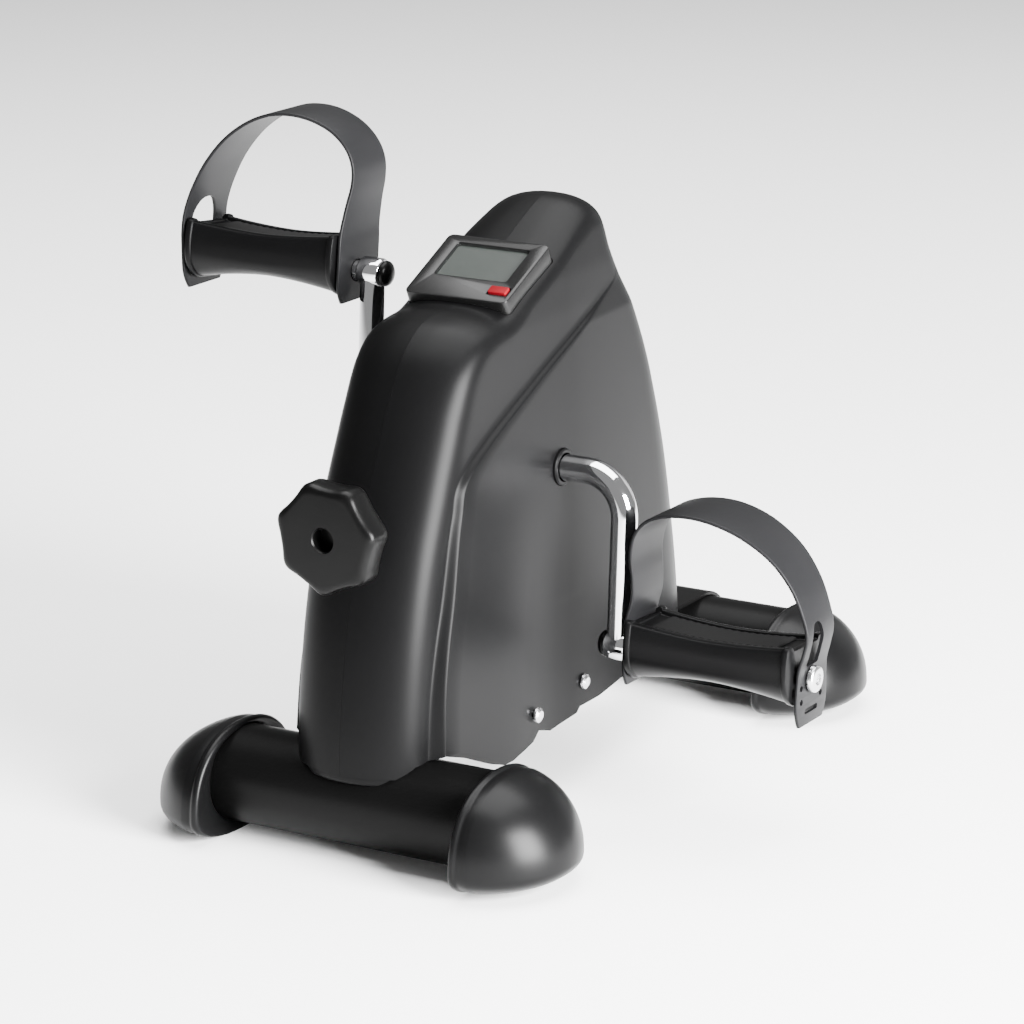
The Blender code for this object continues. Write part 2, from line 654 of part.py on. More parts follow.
def make_strap(tag, side, path, window, slot_z, pivot):
    """Hook strap over the foot: one bent band with holes for the spindle, a window and a slot."""
    line = smooth_curve(path, 34)
    bm = bmesh.new()
    pairs = []
    for i, (x, z, shift, half) in enumerate(line):
        share = i / (len(line) - 1)
        half -= 4.0 * max(0.0, (share - 0.95) / 0.05, (0.05 - share) / 0.05)
        pairs.append([bm.verts.new((side * x * MM, y * MM, z * MM)) for y in (shift - half, shift + half)])
    for (a, b), (c, d) in zip(pairs, pairs[1:]):
        bm.faces.new((a, b, d, c))
    mesh = bpy.data.meshes.new("strap_" + tag)
    bm.to_mesh(mesh)
    bm.free()
    strap = add_object("strap_" + tag, mesh, strap_plastic(), pivot)
    band = strap.modifiers.new("band", "SOLIDIFY")
    band.thickness = STRAP_THICK * MM
    band.offset = 0.0
    combine(strap, rod("pin_hole_" + tag, "X", side * 90, side * 220, SPINDLE_R + 0.6, parent=pivot, segments=20))
    arch = [(window, 8), (window, 21), (0.75 * window, 29), (0.3 * window, 33)]
    arch += [(-v, w) for v, w in arch[::-1]]
    combine(strap, side_profile("window_" + tag, arch, side * 205, 30, parent=pivot))
    slot = [(6, slot_z), (7.5, slot_z - 1.5), (6, slot_z - 3), (-6, slot_z - 3), (-7.5, slot_z - 1.5), (-6, slot_z)]
    combine(strap, side_profile("slot_" + tag, slot, side * 205, 30, parent=pivot))
    for v in (-11.5, 11.5):
        for w in (-3, -11):
            combine(strap, rod(f"hole_{tag}_{v}_{w}", "X", side * 190, side * 220, 1.8, parent=pivot,
                               at=(0, v, w), segments=12))


def make_pedals():
    for tag, side, path, window, slot_z, pitch in (("right", 1, RIGHT_STRAP, 7, -16, radians(-2)),
                                                   ("left", -1, LEFT_STRAP, 12, -10.5, radians(-6))):
        pivot = empty(f"pedal_{tag}_axis", *pedal_axis(side))
        make_pedal(tag, side, pitch, pivot)
        make_spindle(tag, side, pivot)
        make_strap(tag, side, path, window, slot_z, pivot)


# ---------------------------------------------------------------- drag control

def make_knob(pivot):
    """Lobed knob with a centre hole in its face, about the fore-and-aft screw."""
    sections = []
    count = 12 * LOBES
    for y, share, lobe in ((0, 0.86, 0.5), (2.2, 0.975, 0.9), (5, 1, 1), (15, 1, 1), (17.5, 0.955, 0.9),
                           (19, 0.84, 0.5), (19.5, 0.4, 0), (33, 0.37, 0)):
        section = []
        for k in range(count):
            a = 2 * pi * k / count + LOBE_TURN
            offset = (k / 12 + 0.5) % 1.0 - 0.5
            radius = share * KNOB_R - VALLEY * lobe * (1 - exp(-(offset / 0.24) ** 2))
            section.append((radius * cos(a), KNOB_FACE + y, radius * sin(a)))
        sections.append(section)
    knob = loft("knob", sections, knob_plastic(), pivot)
    combine(knob, rod("knob_face_hole", "Y", KNOB_FACE - 5, KNOB_FACE + 9, 7.0, parent=pivot, segments=24))
    combine(knob, rod("knob_shank_hole", "Y", KNOB_FACE + 14, KNOB_FACE + 40, SCREW_R + GAP, parent=pivot,
                      segments=24))


def make_brake():
    """The knob turns a screw that pushes the pad carrier towards the drag wheel."""
    pivot = empty("knob_axis", 0, KNOB_Z)
    make_knob(pivot)
    rod("tension_screw", "Y", KNOB_FACE + 14.3, -112, SCREW_R, zinc_steel(), pivot)
    middle = (0, 0, KNOB_Z)
    bracket = box("knob_bracket", (-24, -152, 83.9), (24, -148, 206), black_steel())
    combine(bracket, rod("bracket_hole", "Y", -160, -140, 9.0, at=middle))
    sleeve("knob_bushing", "Y", -154, -144, 8.7, SCREW_R + RUNNING, bearing_bronze(), at=middle)
    carrier = box("pad_carrier", (-14, -132, KNOB_Z - 14), (14, -108, KNOB_Z + 14), zinc_steel())
    combine(carrier, rod("nut_hole", "Y", -140, -110.5, SCREW_R + 0.4, at=middle))
    box("brake_pad", (-10, -107.7, KNOB_Z - 12), (10, -101.9, KNOB_Z + 12), felt())
    guide = box("carrier_guide", (-18, -138, 83.9), (18, -104, KNOB_Z - 10), black_steel())
    combine(guide, box("guide_channel", (-14.4, -150, KNOB_Z - 14.4), (14.4, -90, KNOB_Z + 5)))


# ---------------------------------------------------------------- display

def slope_plate(name, half_x, half_y, low, high, corner, steps, finish=None, x=0.0, y=0.0):
    """A plate with rounded corners that lies in the display's slope."""
    outline = []
    for sx, sy, start in ((1, 1, 0), (-1, 1, 90), (-1, -1, 180), (1, -1, 270)):
        for k in range(steps + 1):
            a = radians(start + 90 * k / steps)
            outline.append((sx * (half_x - corner) + corner * cos(a), sy * (half_y - corner) + corner * sin(a)))
    plate = flat_shape(name, outline, high - low, finish)
    tilt = Matrix.Rotation(SLOPE, 3, "X")
    plate.rotation_euler = (SLOPE, 0, 0)
    plate.location = (Vector(CONSOLE_MID) + tilt @ Vector((x, y, (low + high) / 2))) * MM
    return plate


def make_display():
    """Battery display in a thin case, with its window, lens, button and board."""
    top = CONSOLE_TOP
    case = slope_plate("console_case", CONSOLE_X, CONSOLE_Y, CONSOLE_BACK, top, 4.0, 4, material(
        "console_plastic", (0.02, 0.02, 0.022), 0.4))
    window_y, button_x, button_y = 5.8, 23.5, -17.5
    combine(case, slope_plate("window_pocket", 23.4, 14.7, top - 5.4, top + 5, 1.5, 2, y=window_y))
    combine(case, slope_plate("button_pocket", 6.3, 3.4, top - 5.4, top + 5, 1.2, 2, x=button_x, y=button_y))
    combine(case, slope_plate("board_pocket", 25, 22, CONSOLE_BACK - 5, top - 8, 2.0, 2))
    slope_plate("lcd_panel", 23.0, 14.3, top - 5.1, top - 1.9, 1.3, 2, lcd_grey(), y=window_y)
    slope_plate("lcd_lens", 23.0, 14.3, top - 1.6, top - 0.4, 1.3, 2, lens_clear(), y=window_y)
    slope_plate("reset_button", 5.8, 2.9, top - 3.6, top + 1.2, 1.0, 2, button_red(), x=button_x, y=button_y)
    slope_plate("display_board", 24.5, 21.5, top - 10.3, top - 8.7, 1.0, 2, board_green())
    slope_plate("battery", 19, 6, top - 24, top - 11, 3.0, 3, zinc_steel())
    slope_plate("battery_clip", 22, 9, top - 26.6, top - 24.4, 2.0, 2, zinc_steel())


def make_pickup():
    """Reed switch beside the drag wheel, passed by the magnet once a turn."""
    box("sensor_reed", (-19.7, AXLE_Y - 8, AXLE_Z - 42), (-12.5, AXLE_Y + 8, AXLE_Z - 34), board_green())


def main():
    prepare_scene()
    make_base()
    make_saddle()
    make_frame()
    make_shroud()
    make_shroud_fixings()
    make_drive()
    make_pedals()
    make_brake()
    make_display()
    make_pickup()


main()
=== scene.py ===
"""Looks of the pedal exerciser: finer shells, rods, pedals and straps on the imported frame.

Sizes are millimetres, turned into metres by MM where a mesh is made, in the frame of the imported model.
"""

from math import cos, exp, hypot, pi, radians, sin

import bpy
import bmesh
from mathutils import Matrix, Vector


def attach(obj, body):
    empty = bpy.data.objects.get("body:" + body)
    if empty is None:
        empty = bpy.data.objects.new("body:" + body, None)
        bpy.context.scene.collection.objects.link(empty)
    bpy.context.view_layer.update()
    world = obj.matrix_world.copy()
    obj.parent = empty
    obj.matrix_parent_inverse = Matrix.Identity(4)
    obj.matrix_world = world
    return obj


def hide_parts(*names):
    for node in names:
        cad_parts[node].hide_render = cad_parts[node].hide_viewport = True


MM = 0.001

# Base
TUBE_Y = 174.0
TUBE_R = 27.8
TUBE_Z = 31.2
TUBE_HALF = 87.5
CAP_HALF = 130.2
CAP_MOUTH = 81.0
CAP_DEPTH = 50.0
CAP_MID_Z = 15.9
CAP_RISE = 46.2
CAP_DROP = 17.0
CAP_SIDES = 112
CAP_CORNER = 0.89
CAP_DOME = 1.92
# Mouth of a cap as (depth, size, roundness): roundness 1 is the tube's own circle
CAP_MOUTH_SECTIONS = [(6.0, 0.9, 1.0), (4.2, 0.9, 0.9), (2.8, 0.9, 0.62), (1.6, 0.905, 0.33),
                      (0.6, 0.92, 0.12), (0.1, 0.94, 0.02), (0.0, 0.958, 0.0), (0.35, 0.977, 0.0),
                      (1.1, 0.992, 0.0), (2.1, 0.999, 0.0), (3.1, 0.998, 0.0), (4.0, 0.99, 0.0),
                      (4.7, 0.979, 0.0), (5.4, 0.974, 0.0), (6.3, 0.975, 0.0)]

# Lip between the nose and the front tube; sections are (height, inset)
LIP_HALF = 40.4
LIP_MID_Y = -174.5
LIP_REACH = 27
LIP_BACK = (30, -172)
LIP_SECTIONS = [(46.8, 3.0), (47.2, 1.8), (48, 1.1), (49.2, 0.8), (51.6, 0.8)]

# Plate from the spine to the rear tube
PLATE_START_Y = 112.0
PLATE_TOUCH_Y = 168.0
PLATE_HALF = 24.0
PLATE_GAP = 0.15
PLATE_TOP = 2.65
PLATE_EDGE = 0.5

# Shroud outline seen from the side as (y, z)
FRONT_OUTLINE = [(-201.5, 26), (-201.5, 68), (-196.6, 110), (-190, 144), (-181.5, 174), (-170, 203),
                 (-157.5, 231), (-148, 251), (-135, 271), (-119, 284), (-101, 289), (-81, 291), (-56, 302.2),
                 (-31, 313.7), (-6, 326.5), (14, 335.2), (27, 336), (37, 331), (44, 320)]
REAR_OUTLINE = [(148, 26), (145.6, 62), (141, 100), (132.5, 139.5), (121, 178.5), (107.5, 212), (91.5, 245),
                (75, 272), (61, 291), (53, 302)]
CROWN_END = (48, 310)
STEP_FOOT = [(-176.5, 26), (-176, 62), (-173.5, 94), (-168, 121), (-160.5, 147), (-150, 189), (-135.5, 213.5),
             (-65.8, 246.5), (12.4, 278), (36, 288.5), (46.5, 304)]
STEP_BAND = 5.5
# Mesh of a shroud half: rows up it, then columns ahead of, on and behind the step with their crowding
ROWS = 128
NOSE_COLUMNS = 20
NOSE_CROWDING = 1.7
STEP_COLUMNS = 7
PANEL_COLUMNS = 34
PANEL_CROWDING = 1.6
# Edge rounding as (share of the way round the outline, depth, power), and half widths by height
EDGE_ROUNDING = [(0.0, 27, 2.1), (0.3, 24, 2.2), (0.38, 16, 2.3), (0.43, 11, 2.4), (0.5, 12, 2.4),
                 (0.6, 20, 2.2), (0.72, 28, 2.1), (0.86, 45, 2.1), (1.0, 55, 2.1)]
NOSE_WIDTH = [(0, 40.5), (190, 40), (280, 38.6), (300, 37.4), (340, 33)]
PANEL_WIDTH = [(40, 49.6), (60, 49), (196, 44), (270, 41), (286, 38.4), (300, 37.4), (340, 33)]
TAPER = 15.0
# Shallow hollow that fades out up the side panel, softer behind its edge than ahead of it
HOLLOW_Y = -58
HOLLOW_REACH = 26
HOLLOW_DEPTH = 2.4
HOLLOW_EDGE_Y = -32
HOLLOW_REAR_SHARE = 0.45
HOLLOW_FADE = (110, 185)
WALL = 2.6
SEAM_GAP = 0.04
# Lower edge of the shroud as (y, z)
SKIRT = [(-230, 52), (-193.5, 52), (-185, 58), (-174, 60), (-171, 62), (-151.6, 55.5), (-125, 44), (-110, 39),
         (-101, 38.7), (-76, 42.4), (-69, 47), (-56, 43), (-28.6, 46), (-25, 49.2), (-2, 49.2), (36, 52.7),
         (100, 58), (120, 62), (180, 62)]
SCREW_SPOTS = [(-73.8, 58.0), (-20.6, 63.0)]

# Display, in a frame that lies in the slope; window and button are half sizes and middles
SLOPE = radians(25.6)
CONSOLE_MID = (0.0, -56.0, 306.6)
CONSOLE_X = 32.9
CONSOLE_Y = 27.5
WINDOW_X = 23.4
WINDOW_Y = 14.7
WINDOW_MID_Y = 5.8
BUTTON_X = 5.8
BUTTON_Y = 2.9
BUTTON_MID_X = 23.5
BUTTON_MID_Y = -17.5

# Cranks
AXLE_Y = -36.9
AXLE_Z = 193.5
CRANK_R = 97.0
CRANK_LEAN = radians(3.64)
ROD_R = 7.56
LEG_X = 85.0
BEND_R = 25.0
EYE_R = 8.6
EYE_HALF = 7.6
SHROUD_HOLE_R = 10.9

# Pedals and straps
PEDAL_IN = 99.4
PEDAL_OUT = 201.5
PEDAL_TOP = 17.2
PEDAL_LIFT = 3.0
WAIST_POWER = 1.7
WAIST_TOP = 3.6
WAIST_BELLY = 5.8
SPINDLE_R = 6.0
SPINDLE_END = 206.0
STRAP_THICK = 2.0
STRAP_END_SHARE = 0.05
STRAP_END_NARROWING = 5.0
# Straps from the inner end over the foot to the outer end, as (out, up, shift, half width) from the spindle
LEFT_STRAP = [(97.3, -17, 0, 21), (97.3, 12.8, 3.5, 21), (97.6, 23.2, 5.2, 20.4), (96.6, 37.8, 8.5, 18.8),
              (94.7, 50.6, 10.8, 17.6), (94.7, 61.7, 10.8, 17.2), (98.8, 71.7, 10.2, 17),
              (107.7, 80.4, 9.4, 17.2), (120, 86.2, 8.2, 18), (133.2, 88.5, 7.1, 18.9),
              (147.1, 87.3, 6, 19.5), (161.9, 81.3, 4.9, 20), (176.1, 70.9, 3.8, 20.5),
              (188.4, 56.5, 2.9, 21), (197.1, 41, 2.2, 21.5), (202.4, 27.4, 1.9, 21.8),
              (204.2, 16.7, 1.7, 22), (204.2, 6.1, 1.2, 22), (204, -19, 0, 20.5)]
RIGHT_STRAP = [(97.6, -17, 0, 20.5), (97.6, 8, 1.5, 19), (97.7, 20, 2, 18), (101.2, 33, 1.5, 17.5),
               (101.7, 45.7, 0.8, 17.4), (101, 58.2, 0.5, 18.2), (104.1, 71.1, 0.4, 19.6),
               (112.5, 80.6, 0.4, 20.8), (125.4, 85.6, 0.5, 21.8), (140.2, 87, 0.8, 22.4),
               (155.2, 85, 1.3, 22.2), (171.3, 79, 2.1, 21), (187.5, 67.8, 3, 19),
               (199.4, 52.4, 3.5, 17.2), (206.3, 35.5, 3.7, 16.2),
               (208.3, 25.5, 3.4, 16), (206.6, 16, 3, 16.2), (204.6, 8, 2.5, 16.8), (204.2, 0, 2, 17.4),
               (204.6, -25, 0, 19)]

# Knob
KNOB_Z = 188.0
KNOB_FACE = -215.6
KNOB_R = 31.6
VALLEY = 3.2
LOBES = 7
LOBE_TURN = radians(9)

# Camera
CAMERA_AZIMUTH = radians(30.89)
CAMERA_ELEVATION = radians(15.63)
CAMERA_ROLL = radians(-0.16)
CAMERA_TARGET = (-8.83, -4.01, 151.66)
CAMERA_DISTANCE = 2318.7
CAMERA_LENS = 140.8

# Studio: lights are name, place and target in metres, size and power
FLOOR_SHADE = 0.93
WORLD_STRENGTH = 0.35
LIGHTS = [("overhead", (0.0, 0.3, 2.6), (0, 0.2, 0), (2.6, 2.6), 260),
          ("side_box", (1.75, -0.5, 0.6), (0, -0.05, 0.17), (0.9, 1.2), 480),
          ("backdrop", (0.6, 2.4, 0.9), (0, 0, 0.25), (1.2, 1.2), 5)]


# ---------------------------------------------------------------- materials

def nodes_of(name):
    made = bpy.data.materials.new(name)
    made.use_nodes = True
    return made, made.node_tree, made.node_tree.nodes["Principled BSDF"]


def textured(name, colour, roughness, grain, depth, vary=0.05, specular=0.5):
    """A moulded or coated surface: fine grain in the normal, soft variation in roughness and colour."""
    made, tree, shader = nodes_of(name)
    shader.inputs["Specular IOR Level"].default_value = specular
    place = tree.nodes.new("ShaderNodeTexCoord")
    fine = tree.nodes.new("ShaderNodeTexNoise")
    fine.inputs["Scale"].default_value = grain
    fine.inputs["Detail"].default_value = 3.0
    broad = tree.nodes.new("ShaderNodeTexNoise")
    broad.inputs["Scale"].default_value = 14.0
    broad.inputs["Detail"].default_value = 4.0
    tree.links.new(place.outputs["Object"], fine.inputs["Vector"])
    tree.links.new(place.outputs["Object"], broad.inputs["Vector"])
    bump = tree.nodes.new("ShaderNodeBump")
    bump.inputs["Strength"].default_value = 0.5
    bump.inputs["Distance"].default_value = depth * MM
    tree.links.new(fine.outputs["Fac"], bump.inputs["Height"])
    tree.links.new(bump.outputs["Normal"], shader.inputs["Normal"])
    rough = tree.nodes.new("ShaderNodeMapRange")
    rough.inputs["To Min"].default_value = roughness - vary
    rough.inputs["To Max"].default_value = roughness + vary
    tree.links.new(broad.outputs["Fac"], rough.inputs["Value"])
    tree.links.new(rough.outputs["Result"], shader.inputs["Roughness"])
    tint = tree.nodes.new("ShaderNodeMix")
    tint.data_type = "RGBA"
    tint.inputs["A"].default_value = (*[c * 0.9 for c in colour], 1.0)
    tint.inputs["B"].default_value = (*[c * 1.12 for c in colour], 1.0)
    tree.links.new(broad.outputs["Fac"], tint.inputs["Factor"])
    tree.links.new(tint.outputs["Result"], shader.inputs["Base Color"])
    return made


def brushed(name, colour, roughness, stretch):
    """Metal with a fine uneven finish, drawn out into lines where the axes are scaled apart."""
    made, tree, shader = nodes_of(name)
    shader.inputs["Metallic"].default_value = 1.0
    shader.inputs["Base Color"].default_value = (*colour, 1.0)
    place = tree.nodes.new("ShaderNodeTexCoord")
    scale = tree.nodes.new("ShaderNodeMapping")
    scale.inputs["Scale"].default_value = stretch
    lines = tree.nodes.new("ShaderNodeTexNoise")
    lines.inputs["Scale"].default_value = 60.0
    lines.inputs["Detail"].default_value = 2.0
    tree.links.new(place.outputs["Object"], scale.inputs["Vector"])
    tree.links.new(scale.outputs["Vector"], lines.inputs["Vector"])
    rough = tree.nodes.new("ShaderNodeMapRange")
    rough.inputs["To Min"].default_value = roughness * 0.7
    rough.inputs["To Max"].default_value = roughness * 1.3
    tree.links.new(lines.outputs["Fac"], rough.inputs["Value"])
    tree.links.new(rough.outputs["Result"], shader.inputs["Roughness"])
    return made


def clear_lens(name):
    """Thin clear cover with a slightly uneven gloss."""
    made, tree, shader = nodes_of(name)
    shader.inputs["Base Color"].default_value = (0.02, 0.022, 0.021, 1.0)
    shader.inputs["Alpha"].default_value = 0.14
    haze = tree.nodes.new("ShaderNodeTexNoise")
    haze.inputs["Scale"].default_value = 40.0
    rough = tree.nodes.new("ShaderNodeMapRange")
    rough.inputs["To Min"].default_value = 0.04
    rough.inputs["To Max"].default_value = 0.1
    tree.links.new(haze.outputs["Fac"], rough.inputs["Value"])
    tree.links.new(rough.outputs["Result"], shader.inputs["Roughness"])
    return made


def make_materials():
    return {
        "shroud": textured("shroud_satin", (0.002, 0.002, 0.0021), 0.38, 1500, 0.03, 0.03, specular=0.055),
        "cap": textured("cap_satin", (0.002, 0.002, 0.0021), 0.34, 1300, 0.03, 0.04, specular=0.1),
        "tube": textured("powder_coat", (0.0018, 0.0018, 0.0018), 0.36, 1100, 0.05, 0.04, specular=0.05),
        "pedal": textured("pedal_satin", (0.0018, 0.0018, 0.0019), 0.36, 1300, 0.03, 0.04, specular=0.09),
        "strap": textured("strap_matte", (0.005, 0.005, 0.0054), 0.44, 1800, 0.04, 0.04, specular=0.1),
        "tread": textured("tread_matte", (0.003, 0.003, 0.003), 0.5, 800, 0.08, 0.05, specular=0.14),
        "knob": textured("knob_satin", (0.0015, 0.0015, 0.0015), 0.3, 1400, 0.03, 0.04, specular=0.08),
        "console": textured("console_satin", (0.004, 0.004, 0.004), 0.26, 1600, 0.015, 0.03, specular=0.16),
        "lcd": textured("lcd_grey", (0.026, 0.031, 0.0275), 0.24, 900, 0.002, 0.03, specular=0.3),
        "lens": clear_lens("lens_clear"),
        "button": textured("button_red", (0.11, 0.003, 0.006), 0.42, 1400, 0.02, 0.04, specular=0.03),
        "chrome": brushed("bright_chrome", (0.8, 0.8, 0.81), 0.06, (1, 1, 1)),
        "zinc": brushed("zinc_plate", (0.62, 0.62, 0.63), 0.24, (1, 12, 12)),
        "iron": brushed("turned_iron", (0.22, 0.22, 0.23), 0.4, (1, 20, 20)),
        "bronze": brushed("bearing_bronze", (0.5, 0.34, 0.18), 0.35, (1, 10, 10)),
        "felt": textured("grey_felt", (0.33, 0.31, 0.29), 0.95, 500, 0.4, 0.04),
        "board": textured("circuit_board", (0.02, 0.12, 0.05), 0.45, 300, 0.03, 0.05),
    }


# ---------------------------------------------------------------- shape helpers

def add_mesh(name, mesh, mat):
    obj = bpy.data.objects.new(name, mesh)
    mesh.materials.clear()
    mesh.materials.append(mat)
    bpy.context.scene.collection.objects.link(obj)
    return obj


def shade(obj, angle=38.0):
    """Smooth faces with crisp edges where two faces meet at more than the angle."""
    bm = bmesh.new()
    bm.from_mesh(obj.data)
    for face in bm.faces:
        face.smooth = True
    for edge in bm.edges:
        if len(edge.link_faces) == 2:
            edge.smooth = edge.calc_face_angle(0.0) < radians(angle)
    bm.to_mesh(obj.data)
    bm.free()
    return obj


def finish_bmesh(bm, name, mat):
    """Weld, turn outward and scale a millimetre mesh, and make it an object."""
    bmesh.ops.remove_doubles(bm, verts=bm.verts, dist=1e-3)
    bmesh.ops.recalc_face_normals(bm, faces=bm.faces)
    bmesh.ops.scale(bm, vec=(MM, MM, MM), verts=bm.verts)
    mesh = bpy.data.meshes.new(name)
    bm.to_mesh(mesh)
    bm.free()
    return add_mesh(name, mesh, mat)


def loft(name, rings, mat, lids=True):
    """Skin equal closed sections in a row."""
    bm = bmesh.new()
    rows = [[bm.verts.new(v) for v in ring] for ring in rings]
    count = len(rings[0])
    for low, high in zip(rows, rows[1:]):
        for j in range(count):
            k = (j + 1) % count
            bm.faces.new((low[j], low[k], high[k], high[j]))
    if lids:
        bm.faces.new(rows[0])
        bm.faces.new(rows[-1])
    return finish_bmesh(bm, name, mat)


def along_axis(axis, along, u, v):
    return {"X": (along, u, v), "Y": (u, along, v)}[axis]


def turned(name, axis, centre, profile, mat, segments=96, closed=False):
    """Turn (along, radius) pairs about an axis through the centre."""
    rings = []
    for along, radius in profile + (profile[:1] if closed else []):
        ring = []
        for k in range(segments):
            a = 2 * pi * k / segments
            point = Vector(along_axis(axis, along, radius * cos(a), radius * sin(a)))
            ring.append(point + Vector(centre))
        rings.append(ring)
    return loft(name, rings, mat, lids=not closed)


def swept(name, points, tangents, flat, radii, mat, segments=64):
    """A round bar along a path that stays in one plane, whose normal is `flat`."""
    angles = [2 * pi * k / segments for k in range(segments)]
    rings = []
    for point, tangent, radius in zip(points, tangents, radii):
        across = tangent.cross(flat)
        rings.append([point + radius * (cos(a) * across + sin(a) * flat) for a in angles])
    return loft(name, rings, mat)


def settled(obj):
    """Turn an object's modifiers into its mesh, with its one material."""
    graph = bpy.context.evaluated_depsgraph_get()
    mat = obj.data.materials[0]
    mesh = bpy.data.meshes.new_from_object(obj.evaluated_get(graph))
    obj.modifiers.clear()
    obj.data = mesh
    mesh.materials.clear()
    mesh.materials.append(mat)
    for face in mesh.polygons:
        face.material_index = 0
    return obj


def carve(target, tools, crossing=False):
    """Cut the tools away, then drop them; crossing allows for a target that runs through itself."""
    for tool in tools:
        mod = target.modifiers.new("carve", "BOOLEAN")
        mod.operation = "DIFFERENCE"
        mod.solver = "EXACT"
        mod.use_self = crossing
        mod.object = tool
    settled(target)
    for tool in tools:
        bpy.data.objects.remove(tool, do_unlink=True)
    return target


def bevelled(obj, width, segments=3, angle=40.0):
    mod = obj.modifiers.new("edges", "BEVEL")
    mod.width = width * MM
    mod.segments = segments
    mod.limit_method = "ANGLE"
    mod.angle_limit = radians(angle)
    return obj


def lookup(table, key, column=1):
    """Straight-line value from a table sorted by its first column, held at both ends."""
    if key <= table[0][0]:
        return table[0][column]
    for low, high in zip(table, table[1:]):
        if key <= high[0]:
            return low[column] + (high[column] - low[column]) * (key - low[0]) / (high[0] - low[0])
    return table[-1][column]


def smooth_step(low, high, value):
    t = min(1.0, max(0.0, (value - low) / (high - low)))
    return t * t * (3 - 2 * t)


def smooth_curve(points, count):
    """Evenly spaced points on a smooth curve through the given ones."""
    pts = [Vector(p) for p in points]
    pts = [2 * pts[0] - pts[1]] + pts + [2 * pts[-1] - pts[-2]]
    fine = []
    for p0, p1, p2, p3 in zip(pts, pts[1:], pts[2:], pts[3:]):
        for k in range(16):
            t = k / 16
            fine.append(0.5 * (2 * p1 + (p2 - p0) * t + (2 * p0 - 5 * p1 + 4 * p2 - p3) * t * t
                               + (3 * p1 - p0 - 3 * p2 + p3) * t ** 3))
    fine.append(pts[-2])
    lengths = [0.0]
    for a, b in zip(fine, fine[1:]):
        lengths.append(lengths[-1] + (b - a).length)
    result = []
    i = 0
    for k in range(count):
        want = lengths[-1] * k / (count - 1)
        while i < len(fine) - 2 and lengths[i + 1] < want:
            i += 1
        result.append(fine[i].lerp(fine[i + 1], (want - lengths[i]) / (lengths[i + 1] - lengths[i])))
    return result


def rounded_outline(corners, radii, steps=5):
    """A closed flat outline with each corner rounded to its own radius."""
    outline = []
    count = len(corners)
    for i in range(count):
        here = Vector(corners[i])
        before, after = Vector(corners[i - 1]) - here, Vector(corners[(i + 1) % count]) - here
        reach = min(radii[i], 0.45 * before.length, 0.45 * after.length)
        start, end = here + before.normalized() * reach, here + after.normalized() * reach
        for k in range(steps + 1):
            t = k / steps
            outline.append((1 - t) ** 2 * start + 2 * t * (1 - t) * here + t * t * end)
    return outline


def power_of(value, power):
    """Power of a value's size, with its sign kept."""
    return abs(value) ** power * (1 if value >= 0 else -1)


# ---------------------------------------------------------------- base

def cap_ring(x, share, round_share):
    """Cross-section of a cap, flat below, blended towards the tube's circle."""
    ring = []
    for k in range(CAP_SIDES):
        a = 2 * pi * k / CAP_SIDES
        reach = CAP_RISE if sin(a) >= 0 else CAP_DROP
        y = CAP_DEPTH * share * power_of(cos(a), CAP_CORNER)
        z = max(0.0, CAP_MID_Z + reach * share * power_of(sin(a), CAP_CORNER))
        y = y * (1 - round_share) + (TUBE_R + 0.2) * cos(a) * round_share
        z = z * (1 - round_share) + (TUBE_Z + (TUBE_R + 0.2) * sin(a)) * round_share
        ring.append(Vector((x, y, z)))
    return ring


def make_cap(name, side, y, mat):
    """Foot with a beaded mouth and a domed end."""
    sections = list(CAP_MOUTH_SECTIONS)
    length = CAP_HALF - CAP_MOUTH
    for k in range(8, 60):
        t = sin(0.5 * pi * k / 60)
        sections.append((length * t, (1 - t ** CAP_DOME) ** (1 / CAP_DOME), 0.0))
    rings = []
    for depth, share, round_share in sections:
        ring = cap_ring(side * (CAP_MOUTH + depth), share, round_share)
        rings.append([v + Vector((0, y, 0)) for v in ring])
    return shade(loft(name, rings, mat))


def make_base(mats):
    """Two cross tubes with a foot on each end."""
    bore = TUBE_R - 2
    profile = [(-TUBE_HALF, bore), (-TUBE_HALF, TUBE_R), (TUBE_HALF, TUBE_R), (TUBE_HALF, bore)]
    for place, y in (("front", -TUBE_Y), ("rear", TUBE_Y)):
        centre = (0, y, TUBE_Z)
        tube = shade(turned(place + "_tube_coated", "X", centre, profile, mats["tube"], 128, True))
        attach(tube, "base")
        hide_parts(place + "_base_tube")
        for tag, side in (("right", 1), ("left", -1)):
            cap = make_cap(f"{place}_{tag}_foot", side, y, mats["cap"])
            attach(cap, "base")
            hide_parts(f"cap_{place}_{tag}")


def make_saddle(mats):
    """Lip that closes the foot of the nose on the front tube."""
    rings = []
    for z, inset in LIP_SECTIONS:
        ring = []
        for k in range(49):
            a = pi * k / 48
            across, ahead = (LIP_HALF - inset) * cos(a), (LIP_REACH - inset) * sin(a)
            ring.append(Vector((-across, LIP_MID_Y - ahead, z)))
        rings.append(ring + [Vector((side * LIP_BACK[0], LIP_BACK[1], z)) for side in (1, -1)])
    saddle = loft("nose_lip", rings, mats["shroud"])
    profile = [(-60, TUBE_R + 0.3), (60, TUBE_R + 0.3)]
    tube = turned("lip_tool", "X", (0, -TUBE_Y, TUBE_Z), profile, mats["shroud"], 128)
    shade(carve(saddle, [tube]))
    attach(saddle, "base")
    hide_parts("front_saddle")


